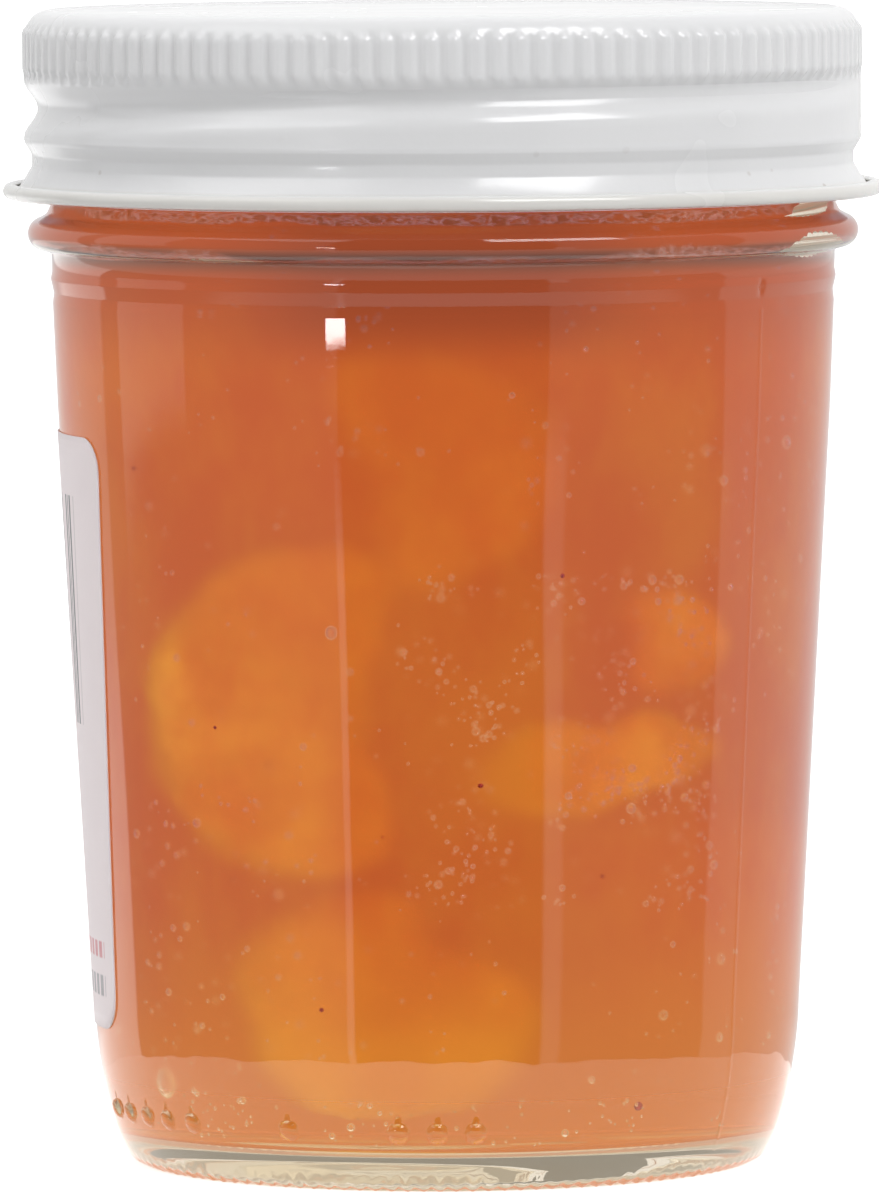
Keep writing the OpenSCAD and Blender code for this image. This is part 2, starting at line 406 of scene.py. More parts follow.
def build_jelly(g):
    """Clear orange jelly. A glow inside it stands for the light that it scatters many times over, so what
    lies deeper fades into the haze, and the rough surface blurs it. The tint where light leaves it makes the
    redder patches, a painted shade that dims the top under the lid, dimmest in the middle, and a painted
    light that brightens the bottom, where the table lights it through the base."""
    place = g.node("SeparateXYZ", Vector=g.node("TexCoord").outputs["Object"]).outputs
    z = place["Z"]
    middle = g.ramp(g.math("ABSOLUTE", place["X"]), 20 * MM, 7 * MM)
    cloud = g.noise(g.position((1, 1, 0.7)), 55.0, 4.0, 0.6)
    tint = g.blend(g.ramp(cloud, 0.36, 0.66), (0.90, 0.58, 0.86), (0.97, 0.80, 0.92))
    # Painted shade: the top under the lid is tinted darker, since less light reaches it there.
    tint = g.blend(g.ramp(z, 68 * MM, 77 * MM, 0.0, 0.8), tint, (0.72, 0.46, 0.95))
    # Painted shade: darker still in the middle of the top.
    high = g.math("MULTIPLY", g.ramp(z, 69 * MM, 75 * MM, 0.0, 0.9), middle)
    tint = g.blend(high, tint, (0.55, 0.36, 0.85))
    # Painted light: the bottom is left untinted and so lighter, for the light from the table that comes up
    # through the base.
    tint = g.blend(g.ramp(z, 26 * MM, 5 * MM), tint, (1.0, 1.0, 1.0))
    blur = g.ramp(z, 5 * MM, 9 * MM, 0.0, JELLY_BLUR)
    bend = g.node("BsdfRefraction", Color=tint, Roughness=blur, IOR=JELLY_IOR)
    surface = lets_lamps_through(g, bend.outputs[0], (1.0, 1.0, 1.0))
    densest = max(HAZE)
    clearness = tuple(1 - h / densest for h in HAZE)
    glow = tuple(h * c for h, c in zip(HAZE, HAZE_COLOUR))
    brightest = max(glow)
    return surface, g.haze(clearness, densest, tuple(v / brightest for v in glow), brightest)


# The flesh's density per metre and its glow colour. The glow is a painted light that stands in for the light
# that the jelly scatters into it.
FLESH = 420.0
FLESH_GLOW_COLOUR = (0.72, 0.42, 0.016)


def build_peach(g):
    """Cooked peach flesh: faint fibres run out from the stone's hollow, which is stained red. It is
    translucent, so its thin edges melt into the jelly. It glows, on its face and through its depth: a painted
    light that stands in for the light that the jelly scatters onto it."""
    fibre = g.painted("fibre")
    depth = g.painted("depth")
    patches = g.noise(g.position(), 140.0, 4.0, 0.6)
    fine = g.noise(g.position(), 900.0, 3.0, 0.6)
    colour = g.blend(g.ramp(patches, 0.36, 0.64), (0.62, 0.29, 0.012), (0.80, 0.58, 0.045))
    colour = g.blend(g.ramp(fibre, 0.5, 0.95, 0.0, 0.35), colour, (0.80, 0.50, 0.06))
    colour = g.blend(g.ramp(fibre, 0.45, 0.1, 0.0, 0.25), colour, (0.60, 0.17, 0.010))
    colour = g.blend(g.ramp(fine, 0.55, 0.8, 0.0, 0.35), colour, (0.82, 0.52, 0.09))
    colour = g.blend(g.ramp(depth, 0.2, 0.0, 0.0, 0.5), colour, (0.55, 0.07, 0.012))
    # The flesh glows on its face: painted light for the light that the jelly scatters onto it.
    flesh = g.node(
        "BsdfPrincipled", Base_Color=colour, Roughness=0.7, Specular_IOR_Level=0.0,
        Normal=g.bump(fibre, 0.25, 0.0003), Emission_Color=colour, Emission_Strength=0.72,
    )
    edge = g.node("LayerWeight", Blend=0.5).outputs["Facing"]
    haze = g.noise(g.position(), 330.0, 4.0, 0.65)
    fade = g.ramp(g.math("ADD", edge, g.math("MULTIPLY", haze, 0.35)), 0.15, 0.9, 0.45, 1.0)
    surface = g.mix(fade, flesh.outputs[0], g.node("BsdfTransparent").outputs[0])
    # Inside, it glows too: a painted light, which thickens with depth.
    return surface, g.haze((0.0, 0.0, 0.0), FLESH, FLESH_GLOW_COLOUR, FLESH)


def build_air(g):
    """The wall of an air bubble in the jelly. Its rim glows: a painted highlight for the light that it
    gathers from all round.
    """
    clear = g.node("BsdfGlass", Color=(1.0, 1.0, 1.0), Roughness=0.0, IOR=1 / JELLY_IOR)
    # Painted highlight: the rim is mixed towards a pale glow.
    rim = g.ramp(g.node("LayerWeight", Blend=0.5).outputs["Facing"], 0.3, 0.95, 0.03, 0.6)
    light = g.node("Emission", Color=(1.0, 0.90, 0.50), Strength=0.95)
    return g.mix(rim, clear.outputs[0], light.outputs[0]), None


def build_foam(g):
    """Crumpled film of air and jelly caught under the lid. It glows a little, a painted light, and its
    creases are painted pale, a painted highlight of the light that the air in them catches.
    """
    folds = g.noise(g.position((1, 1, 1.6)), 900.0, 4.0, 0.6)
    creases = g.ramp(g.math("ABSOLUTE", g.math("SUBTRACT", folds, 0.5)), 0.0, 0.05, 1.0, 0.0)
    # The creases are painted pale: a painted highlight. The film glows: a painted light.
    colour = g.blend(creases, (0.60, 0.27, 0.05), (1.0, 0.95, 0.45))
    film = g.node(
        "BsdfPrincipled", Base_Color=colour, Roughness=0.3, Specular_IOR_Level=0.2,
        Emission_Color=colour, Emission_Strength=0.45,
    )
    cover = g.math("MULTIPLY", g.ramp(folds, 0.35, 0.6, 0.25, 0.7), g.painted("cover"))
    return g.mix(cover, g.node("BsdfTransparent").outputs[0], film.outputs[0]), None


def build_speck(g):
    """Bits of dark red skin. They glow a little: a painted light for the light that the jelly scatters onto
    them.
    """
    mottle = g.noise(g.position(), 2500.0, 2.0)
    colour = g.blend(mottle, (0.20, 0.018, 0.012), (0.36, 0.04, 0.02))
    # The glow is painted light.
    return g.node(
        "BsdfPrincipled", Base_Color=colour, Roughness=0.6, Emission_Color=colour, Emission_Strength=0.4,
    ).outputs[0], None


# Below this height the lid's side has picked up a few dark marks.
MARKS_BELOW_Z = 89.5


def build_enamel(g):
    """White baked enamel over tinplate, a little orange-peel in the gloss, rubbed to ivory on the curl."""
    place = g.node("TexCoord").outputs["Object"]
    z = g.node("SeparateXYZ", Vector=place).outputs["Z"]
    peel = g.noise(place, 1300.0, 2.0)
    cloud = g.noise(place, 60.0, 3.0)
    white = g.blend(cloud, (0.785, 0.787, 0.80), (0.825, 0.825, 0.83))
    curl = g.ramp(z, (CURL_BOTTOM + 1.5) * MM, (CURL_BOTTOM + 0.9) * MM)
    colour = g.blend(curl, white, (0.78, 0.765, 0.73))
    speck = g.node("TexVoronoi", Vector=place, Scale=210.0).outputs["Distance"]
    low = g.ramp(z, MARKS_BELOW_Z * MM, CURL_BOTTOM * MM)
    mark = g.math("MULTIPLY", g.ramp(speck, 0.05, 0.09, 1.0, 0.0), low)
    colour = g.blend(g.math("MULTIPLY", mark, 0.4), colour, (0.32, 0.25, 0.2))
    rough = g.ramp(cloud, 0.3, 0.7, 0.2, 0.28)
    return g.node(
        "BsdfPrincipled", Base_Color=colour, Roughness=rough, Normal=g.bump(peel, 0.12, 0.0001),
        Coat_Weight=0.4, Coat_Roughness=0.1,
    ).outputs[0], None


def build_liner(g):
    """Moulded sealing compound, off white and slightly matt."""
    grain = g.noise(g.position(), 1500.0, 3.0)
    colour = g.blend(grain, (0.62, 0.58, 0.5), (0.74, 0.7, 0.62))
    return g.node(
        "BsdfPrincipled", Base_Color=colour, Roughness=0.5, Normal=g.bump(grain, 0.3, 0.0001),
    ).outputs[0], None


# The label's print, in millimetres along the label from its middle and up from the table.
BARS_ALONG = (9.0, 32.5)
BARS_UP = (38.0, 57.6)
DASHES_ALONG = (8.0, 35.6)
DASHES = [((18.2, 19.6), (0.62, 0.06, 0.10)), ((14.9, 16.7), (0.22, 0.22, 0.24))]
FRUIT_AT = (-14.0, 38.0)
FRUIT_R = 10.0
LEAF_AT = (5.5, 10.4)


def build_paper(g):
    """Coated white paper with a generic print and no lettering: a fruit, a block of bars, rows of dashes."""
    along = g.painted("along")
    up = g.painted("up")
    grain = g.noise(g.position(), 2600.0, 3.0)
    cloud = g.noise(g.position(), 120.0, 2.0)
    colour = g.blend(cloud, (0.90, 0.80, 0.81), (0.96, 0.86, 0.87))
    wobble = g.math("SINE", g.math("MULTIPLY", along, 1.7))
    beat = g.math("FRACT", g.math("ADD", g.math("DIVIDE", along, 1.45), g.math("MULTIPLY", wobble, 0.5)))
    bars = g.math("MULTIPLY", g.inside(beat, 0.2, 0.62, 0.03), g.inside(along, *BARS_ALONG, 0.05))
    bars = g.math("MULTIPLY", bars, g.inside(up, *BARS_UP, 0.05))
    colour = g.blend(g.math("MULTIPLY", bars, 0.95), colour, (0.08, 0.08, 0.09))
    for (low, high), ink in DASHES:
        tick = g.math("FRACT", g.math("DIVIDE", along, 1.6))
        mark = g.math("MULTIPLY", g.inside(up, low, high, 0.1), g.inside(along, *DASHES_ALONG, 0.1))
        mark = g.math("MULTIPLY", mark, g.inside(tick, 0.15, 0.8, 0.05))
        colour = g.blend(g.math("MULTIPLY", mark, 0.7), colour, ink)
    off_s = g.math("SUBTRACT", along, FRUIT_AT[0])
    off_z = g.math("SUBTRACT", up, FRUIT_AT[1])
    far = g.math("SQRT", g.math("ADD", g.math("POWER", off_s, 2.0), g.math("POWER", off_z, 2.0)))
    blush = g.ramp(g.math("ADD", off_s, g.math("MULTIPLY", off_z, -0.6)), -9.0, 9.0)
    fruit = g.blend(blush, (0.90, 0.42, 0.09), (0.78, 0.16, 0.05))
    colour = g.blend(g.ramp(far, FRUIT_R, FRUIT_R - 0.1), colour, fruit)
    leaf_s = g.math("SUBTRACT", off_s, LEAF_AT[0])
    leaf_z = g.math("SUBTRACT", off_z, LEAF_AT[1])
    leaf = g.math("ADD", g.math("ABSOLUTE", g.math("MULTIPLY", leaf_z, 2.2)), g.math("ABSOLUTE", leaf_s))
    colour = g.blend(g.ramp(leaf, 4.6, 4.5), colour, (0.12, 0.28, 0.06))
    rough = g.ramp(grain, 0.3, 0.7, 0.36, 0.48)
    return g.node(
        "BsdfPrincipled", Base_Color=colour, Roughness=rough, Normal=g.bump(grain, 0.15, 0.00005),
    ).outputs[0], None


GLASS = material("jar_glass", build_glass)
WET_GLASS = material("jar_glass_wet", build_wet_glass)
JELLY = material("fruit_jelly", build_jelly)
PEACH = material("peach_flesh", build_peach)
AIR = material("air_in_jelly", build_air)
FOAM = material("foam_film", build_foam)
SPECK = material("fruit_skin_bits", build_speck)
ENAMEL = material("white_enamel", build_enamel)
LINER = material("liner_compound", build_liner)
PAPER = material("label_paper", build_paper)

# ---------------------------------------------------------------- the glass jar

SEAMS = (FRONT + 53, FRONT + 53 - 180)
DOTS = tuple(FRONT + a for a in (-75, -68, -61, -54.5, -47.8, -27.4, -8.2, -1.7, 4.6))
DOT_Z = 5.2
DOT_R = 0.85
DOT_H = 0.5
STIPPLES = 120
STIPPLE_H = 0.24
FOOT_RING = (23.4, 24.2)
UNDER_Z = 1.4
BEAD_MID_R = 34.1
BEAD_Z = 79.65
BEAD_ROUND = 1.4
# The seams' ridge, and the small notch in each where the two halves of the mould met below the bead.
SEAM_H = 0.04
SEAM_HALF = 0.22
NOTCH_Z = 75.7
NOTCH_H = 0.28
NOTCH_HALF = 0.55
# The thread, in degrees: where it starts, how far it runs, and how long each end takes to fade.
THREAD_FROM = 3
THREAD_RUN = 380
THREAD_FADE = 22


def arc_gap(a, middle, r):
    """Distance round the jar, in millimetres, from the angle middle."""
    return np.radians((a - middle + 180) % 360 - 180) * r


def glass_shape(r, z, a):
    """Thread on the neck, mould seams and mould dots on the outside, a stippled foot, an uneven inside."""
    outside = r > np.where(z > NARROW_Z, MOUTH_R + 2.2, wall_at(z) - 1.2)
    inside = (r < wall_at(z) - 1.2) & (z > 2.6) & (r > 8) & (z < NECK_Z)
    for extra in (0, 360):
        along = (a - THREAD_FROM) % 360 + extra
        middle = RIDGE_Z + THREAD_LIFT + PITCH * along / 360
        ends = smoothstep(0, THREAD_FADE, along) * smoothstep(0, THREAD_FADE, THREAD_RUN - along)
        bump = smoothstep(1.15, 0.3, np.abs(z - middle)) * ends * (along <= THREAD_RUN)
        r = np.where(outside & (z > NECK_Z), np.maximum(r, NECK_R + (THREAD_R - NECK_R) * bump), r)
    for seam in SEAMS:
        gap = arc_gap(a, seam, r)
        ridge = SEAM_H * np.exp(-((gap / SEAM_HALF) ** 2)) * (z < WALL_TOP) * (z > 1)
        notch = NOTCH_H * np.maximum(0, 1 - np.abs(gap) / NOTCH_HALF)
        notch = notch * np.maximum(0, 1 - np.abs(z - NOTCH_Z) / NOTCH_HALF)
        r = np.where(outside, r + ridge - notch, r)
    for dot in DOTS:
        away = np.hypot(arc_gap(a, dot, r), z - DOT_Z) / DOT_R
        r = np.where(outside & (z < 9), r + DOT_H * np.sqrt(np.maximum(0, 1 - away**2)), r)
    beat = 0.5 + 0.5 * np.cos(np.radians(a * STIPPLES))
    foot = smoothstep(*FOOT_RING, r) * smoothstep(1.1, 0.35, z)
    z = z + STIPPLE_H * beat * foot
    r = r + 0.10 * (beat - 0.5) * foot * (r > 25.5)
    turn = np.radians(a)
    wave = 0.05 * np.sin(3 * turn + z / 9) + 0.03 * np.sin(7 * turn - z / 5 + 1)
    r = np.where(inside & (z > 8), r + wave * smoothstep(8, 20, z), r)
    floor_wave = 0.08 * np.sin(r / 3.1 + 2 * turn) * smoothstep(22, 17, r)
    z = np.where(inside & (z < 4) & (r < 22), z + floor_wave, z)
    return r, z


heel_rows = sorted(set(np.linspace(0.9, HEEL_H, 16)) | set(np.arange(DOT_Z - 1.0, DOT_Z + 1.01, 0.17)))
glass_outline = (
    [(0, UNDER_Z)]
    + rounded([(15, UNDER_Z), (21.0, 1.1, 3), (23.9, 0.0, 0.8), (26.2, 0.0, 0.4), (heel_at(0.5), 0.5)])
    + [(heel_at(z), z) for z in heel_rows]
    + rounded(
        [
            (HEEL_R, HEEL_H),
            (WALL_MID_R, WALL_MID_Z),
            (WALL_R, WALL_TOP, 0.6),
            (WALL_R - 0.1, WALL_TOP + 0.9, 0.5),
            (WALL_R + 0.17, WALL_TOP + 2.1, 0.25),
            (WALL_R + 0.05, WALL_TOP + 2.7, 0.4),
            (WALL_R + 0.1, WALL_TOP + 4.3),
        ]
    )[1:]
    + rounded([(WALL_R + 0.1, 77.7), (WALL_R + 0.45, 78.25, 0.4), (34.6, 78.34)])[1:]
    + arc(BEAD_MID_R, BEAD_Z, BEAD_ROUND, -60, 58, 12)
    + rounded([(34.6, 80.95), (33.9, 81.3, 0.8), (NECK_R, 82.3, 1.0), (NECK_R, NECK_Z)])[1:]
    + [(NECK_R, z) for z in np.arange(84.6, 96.3, 0.42)]
    + arc(NECK_R - 0.9, RIM_Z - 0.9, 0.9, 0, 90, 5)
    + arc(MOUTH_R + 0.9, RIM_Z - 0.9, 0.9, 90, 180, 5)
    + rounded([(MOUTH_R, 96), (MOUTH_R, NECK_Z, 5), (WALL_R - WALL_T, NARROW_Z, 8), (INSIDE_R, 12)])[1:]
    + arc(INSIDE_R - FLOOR_ROUND, FLOOR_Z + FLOOR_ROUND, FLOOR_ROUND, 0, -90, 10)
    + [(18, FLOOR_Z), (12, FLOOR_Z), (6, FLOOR_Z), (0, FLOOR_Z)]
)
glass_outline = refined(glass_outline, 4.0)


def glass_angles():
    """Four columns to each stipple, and extra ones at the mould dots and seams."""
    base = set(np.round(np.arange(STIPPLES * 4) * 90.0 / STIPPLES, 4))
    for dot in DOTS:
        base |= {round(dot % 360 + k * 0.3, 4) for k in range(-6, 7)}
    for seam in SEAMS:
        base |= {round(seam % 360 + k * 0.16, 4) for k in range(-5, 6)}
    return sorted(a % 360 for a in base)


def jar_piece():
    """The jar, with the faces that touch jelly in their own material."""
    obj = lathe("glass_body", glass_outline, glass_angles(), GLASS, glass_shape)
    obj.data.materials.append(WET_GLASS)
    for face in obj.data.polygons:
        x, y, z = (v / MM for v in face.center)
        face.material_index = int(math.hypot(x, y) < inner_wall(z) + 0.5 and FLOOR_Z - 0.4 < z < FILL_Z)
    return obj


jar = jar_piece()
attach(jar, "jar")
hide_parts("glass_jar")

# ---------------------------------------------------------------- the lid

RIB_COLUMNS = (0.0, 0.2, 0.32, 0.44, 0.56, 0.68, 0.8)
RIB_HALF = 0.64
RIB_H = 0.36
RIB_FROM_Z = BAND_Z + 0.05
RIB_TO_Z = BAND_Z + 4.0
SKIRT_FROM_R = 33
SHOULDER_ROUND = 1.95
CURL_ROUND = 0.65


def lid_shape(r, z, a):
    """Knurls on the band and the pressed helical groove below it."""
    outer = smoothstep(BAND_R - 0.12, BAND_R - 0.1, r)
    width = 2 * math.pi * BAND_R / KNURLS
    across = ((a * KNURLS / 360) % 1 - 0.5) * width
    along = z - np.clip(z, RIB_FROM_Z + RIB_HALF, RIB_TO_Z - RIB_HALF)
    rib = smoothstep(0.16, -0.24, np.hypot(across, along) - RIB_HALF)
    on_band = (z > BAND_Z - 0.2) & (z < BAND_Z + 4.4) & (r > SKIRT_FROM_R)
    r = np.where(on_band, r + outer * RIB_H * rib, r)
    strength = smoothstep(5, 45, a) * smoothstep(358, 325, a)
    middle = RIDGE_Z + PITCH * a / 360 + 0.6 * smoothstep(200, 270, a)
    groove = smoothstep(GROOVE_HALF, 0.1, np.abs(z - middle)) * strength
    groove = groove * smoothstep(BAND_Z + 0.5, BAND_Z - 0.9, z)
    groove = groove * smoothstep(RECESS_Z + 0.2, RECESS_Z + 1.2, z)
    return np.where(r > SKIRT_FROM_R, r - RIDGE_DEPTH * groove, r), z


def lid_outline():
    """The sheet's outer side, from the middle of the top to the curl, and back along its inner side."""
    t = SHEET_T
    curl_r, curl_z = CURL_R - CURL_ROUND, CURL_BOTTOM + CURL_ROUND
    panel = LID_TOP - 0.15
    shoulder = (BAND_R - SHOULDER_ROUND, LID_TOP - SHOULDER_ROUND)
    outer = (
        [(0, panel), (12, panel), (24, panel)]
        + rounded([(32.6, panel), (33.4, panel - 0.12, 0.3), (33.75, LID_TOP)])
        + arc(*shoulder, SHOULDER_ROUND, 85, 12, 6)
        + [(BAND_R - 0.04, z) for z in np.arange(97.1, BAND_Z - 0.05, -0.34)]
        + [(BULGE_R - 0.02, z) for z in np.arange(BAND_Z - 0.3, RECESS_Z + 1.5, -0.42)]
        + rounded(
            [
                (BULGE_R, RECESS_Z + 1.5),
                (BULGE_R - 0.1, RECESS_Z + 1.2, 0.5),
                (RECESS_R, RECESS_Z + 0.25, 0.6),
                (RECESS_R, RECESS_Z - 0.8, 0.6),
                (RECESS_R + 0.65, RECESS_Z - 1.91),
            ]
        )
        + arc(curl_r, curl_z, CURL_ROUND - t + 0.02, 215, 500, 12)
    )
    inner = (
        [(0, panel - t), (24, panel - t), (33.2, panel - t)]
        + arc(*shoulder, SHOULDER_ROUND - t, 80, 12, 5)
        + [(BAND_R - t - 0.04, z) for z in (97.0, 95.4, 93.8)]
        + [(BULGE_R - t, z) for z in np.arange(BAND_Z - 0.2, RECESS_Z + 1.5, -1.5)]
        + rounded(
            [
                (BULGE_R - t, RECESS_Z + 1.6),
                (RECESS_R - t, RECESS_Z + 0.3, 0.6),
                (RECESS_R - t, RECESS_Z - 0.8, 0.6),
                (RECESS_R + 0.46, RECESS_Z - 2.04),
            ]
        )
        + arc(curl_r, curl_z, CURL_ROUND, 215, 500, 10)
    )
    return outer + inner[::-1]


lid_angles = [(k + part) * 360 / KNURLS for k in range(KNURLS) for part in RIB_COLUMNS]
lid = lathe("lid", lid_outline(), lid_angles, ENAMEL, lid_shape)
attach(lid, "cap")
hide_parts("screw_cap")

# ---------------------------------------------------------------- the liner

LINER_W = 4.2
LINER_ROUND = 0.3
liner_top, liner_bottom, liner_r = liner_high[2], liner_low[2], liner_high[0]
liner_outline = rounded(
    [
        (liner_r - LINER_W / 2, liner_top),
        (liner_r - LINER_W, liner_top, LINER_ROUND),
        (liner_r - LINER_W, liner_bottom, LINER_ROUND),
        (liner_r, liner_bottom, LINER_ROUND),
        (liner_r, liner_top, LINER_ROUND),
        (liner_r - LINER_W / 2 + 0.1, liner_top),
    ]
)
liner = lathe("liner_ring", liner_outline, even_angles(180), LINER, closed=True)
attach(liner, "liner")
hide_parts("sealing_liner")

# ---------------------------------------------------------------- the label


def label_piece():
    """A thin sheet that wraps the wall, its corners rounded and its rows leaning a little."""
    mid_z = (label_low[2] + label_high[2]) / 2
    half_h = (label_high[2] - label_low[2]) / 2
    half_l = LABEL_LEN / 2
    ends = LABEL_CORNER * (1 - np.cos(np.linspace(0, math.pi / 2, 9)))
    straight = np.linspace(-half_l + LABEL_CORNER, half_l - LABEL_CORNER, 90)[1:-1]
    s = np.concatenate([-half_l + ends, straight, half_l - ends[::-1]])
    t = np.linspace(-1, 1, 41)
    near = np.minimum(half_l - np.abs(s), LABEL_CORNER)
    drop = LABEL_CORNER - np.sqrt(np.maximum(LABEL_CORNER**2 - (LABEL_CORNER - near) ** 2, 0))
    z = mid_z + t[None, :] * (half_h - drop)[:, None]
    wall = wall_at(z)
    turn = s[:, None] / wall_at(mid_z) + (z - mid_z) * math.tan(math.radians(LABEL_LEAN)) / wall
    a = math.radians(LABEL_AT) + turn
    layers = []
    for lift in (0.04, 0.16):
        r = wall + lift
        layers.append(np.stack([r * np.cos(a), r * np.sin(a), z], -1).reshape(-1, 3))
    verts = np.concatenate(layers)
    n, m = z.shape
    size = n * m
    faces = []
    for i in range(n - 1):
        for j in range(m - 1):
            q = (i * m + j, (i + 1) * m + j, (i + 1) * m + j + 1, i * m + j + 1)
            faces.append(q)
            faces.append(tuple(size + v for v in reversed(q)))
    edge = [(i * m) for i in range(n)] + [(n - 1) * m + j for j in range(1, m)]
    edge += [i * m + m - 1 for i in range(n - 2, -1, -1)] + [j for j in range(m - 2, 0, -1)]
    for p, q in zip(edge, edge[1:] + edge[:1]):
        faces.append((p, q, size + q, size + p))
    obj = mesh_object("wrap_label", verts, faces, PAPER)
    outward(obj)
    paint(obj.data, "along", np.tile(np.broadcast_to(s[:, None], z.shape).ravel(), 2))
    paint(obj.data, "up", np.tile(z.ravel(), 2))
    return obj


label = label_piece()
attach(label, "jar")
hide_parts("paper_label")

# ---------------------------------------------------------------- the filling

# How far the jelly reaches into the glass, so that no air shows between them.
SINK = 0.12
jelly_outline = (
    [(0, FLOOR_Z - SINK), (8, FLOOR_Z - SINK), (16, FLOOR_Z - SINK)]
    + arc(INSIDE_R - FLOOR_ROUND, FLOOR_Z + FLOOR_ROUND, FLOOR_ROUND + SINK, -90, 0, 12)
    + refined(
        rounded(
            [
                (INSIDE_R + SINK, 12),
                (WALL_R - WALL_T + SINK, NARROW_Z, 8),
                (MOUTH_R + 0.25 + SINK, 81.4),
                (MOUTH_R + 0.2 + SINK, FILL_Z),
            ]
        ),
        4,
    )
    + [(28, FILL_Z - 0.4), (20, FILL_Z - 0.5), (10, FILL_Z - 0.5), (0, FILL_Z - 0.5)]
)
jelly = lathe("jelly_filling", jelly_outline, even_angles(180), JELLY)
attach(jelly, "jar")
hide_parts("jelly")

FRUIT_GRAIN = 0.45
FRUIT_SMOOTHING = 150
LUMP_H = 1.1
FIBRE_H = 0.2
SWELL = 0.35


def corner_vectors(mesh, what):
    """One vector for each corner of the mesh: its place, "co", or its direction, "normal"."""
    values = np.empty(len(mesh.vertices) * 3)
    mesh.vertices.foreach_get(what, values)
    return values.reshape(-1, 3)


def fruit_piece(i):
    """A slice grown soft in the jar: the plain wedge, remeshed and rounded, with lumps and fibres pressed in.
    The fibres fan out from the middle of the side that faced the stone."""
    node = f"peach_slice_{i}"
    obj = bpy.data.objects.new(f"peach_piece_{i}", nodes[node].data.copy())
    bpy.context.scene.collection.objects.link(obj)
    obj.data.materials.clear()
    remesh = obj.modifiers.new("remesh", "REMESH")
    remesh.mode = "VOXEL"
    remesh.voxel_size = FRUIT_GRAIN * MM
    soft = obj.modifiers.new("soft", "SMOOTH")
    soft.iterations = FRUIT_SMOOTHING
    soft.factor = 0.7
    mesh = evaluated(obj)
    mesh.materials.append(PEACH)
    place = corner_vectors(mesh, "co") / MM
    normal = corner_vectors(mesh, "normal")
    away = place - np.array(Vector(STONE_SIDE[i]))
    reach = np.linalg.norm(away, axis=1)
    away = away / reach[:, None]
    n = len(place)
    fibre = np.empty(n)
    lump = np.empty(n)
    for k in range(n):
        ray = Vector(away[k])
        here = Vector(place[k])
        fibre[k] = noise.noise(ray * 9.0 + here * 0.05) + 0.5 * noise.noise(ray * 21.0 + here * 0.08)
        lump[k] = noise.fractal(here * 0.16 + Vector((i * 7.3, 0, 0)), 1.0, 2.0, 4)
    shift = LUMP_H * lump + FIBRE_H * fibre + SWELL
    mesh.vertices.foreach_set("co", ((place + normal * shift[:, None]) * MM).ravel())
    mesh.polygons.foreach_set("use_smooth", [True] * len(mesh.polygons))
    paint(mesh, "fibre", 0.5 + 0.6 * fibre)
    paint(mesh, "depth", np.clip((reach - reach.min()) / (reach.max() - reach.min()), 0, 1))
    mesh.update()
    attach(obj, "jar")
    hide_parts(node)


# The middle of each slice's stone side, in millimetres.
STONE_SIDE = {
    1: (-3, -15, 40),
    2: (1.5, -12.8, 22.2),
    3: (-7, -12.5, 59.5),
    4: (11.3, -12.5, 45.8),
    5: (11, -5.5, 35.5),
    6: (6, 9, 20.5),
    7: (2, 9, 62),
}

for number in range(1, 8):
    fruit_piece(number)

# ---------------------------------------------------------------- air, foam and specks in the jelly

dice = np.random.RandomState(11)

BUBBLE_LEAST_R = 0.08
BUBBLE_MORE_R = 0.065
BUBBLE_MOST_MORE_R = 0.33
# The large bubbles: azimuth with 0 in front, distance from the axis, height, radius.
BIG_BUBBLES = [
    (-60, 25.4, 8.4, 1.0),
    (-18.5, 28.9, 47.3, 0.5),
    (67, 29.2, 62.2, 0.55),
    (-16, 27.6, 44.0, 0.3),
]
# Bits of skin that can be picked out: place and radius. More are strewn at random.
SPECKS = [
    ((15.2, -20.5, 7.0), 0.38),
    ((2.8, -28.5, 34.5), 0.2),
    ((-18.6, -22.0, 39.0), 0.16),
    ((9.5, -28.0, 52.0), 0.18),
    ((-24.2, -14.6, 60.5), 0.2),
]
MORE_SPECKS = 22
# Where the bubbles gather: how many, azimuth from and to with 0 in front, height from and to, how deep they
# lie, and how clumped they are.
SWARMS = [
    (700, -180, 180, 4.6, 79, 2.0, 0.0),
    (700, -8, 52, 24, 52, 2.2, 0.05),
    (110, -62, -22, 8, 34, 1.6, 0.0),
    (130, 38, 80, 12, 66, 1.0, 0.0),
    (90, -55, 60, 4.2, 8.0, 1.0, 0.0),
    (80, -20, 62, 56, 76, 1.2, 0.0),
]


def ball():
    """Corners and faces of a unit ball."""
    bm = bmesh.new()
    bmesh.ops.create_icosphere(bm, subdivisions=2, radius=1.0)
    corners = np.array([v.co[:] for v in bm.verts])
    faces = np.array([[v.index for v in f.verts] for f in bm.faces])
    bm.free()
    return corners, faces


def balls_object(name, places, radii, stretch, mat):
    """Many small balls in one mesh, each stretched along the axes."""
    corners, faces = ball()
    places, radii = np.array(places), np.array(radii)
    verts = places[:, None, :] + corners[None] * radii[:, None, None] * stretch[:, None, :]
    index = faces[None] + (np.arange(len(places)) * len(corners))[:, None, None]
    obj = mesh_object(name, verts.reshape(-1, 3), index.reshape(-1, 3).tolist(), mat)
    outward(obj)
    return obj


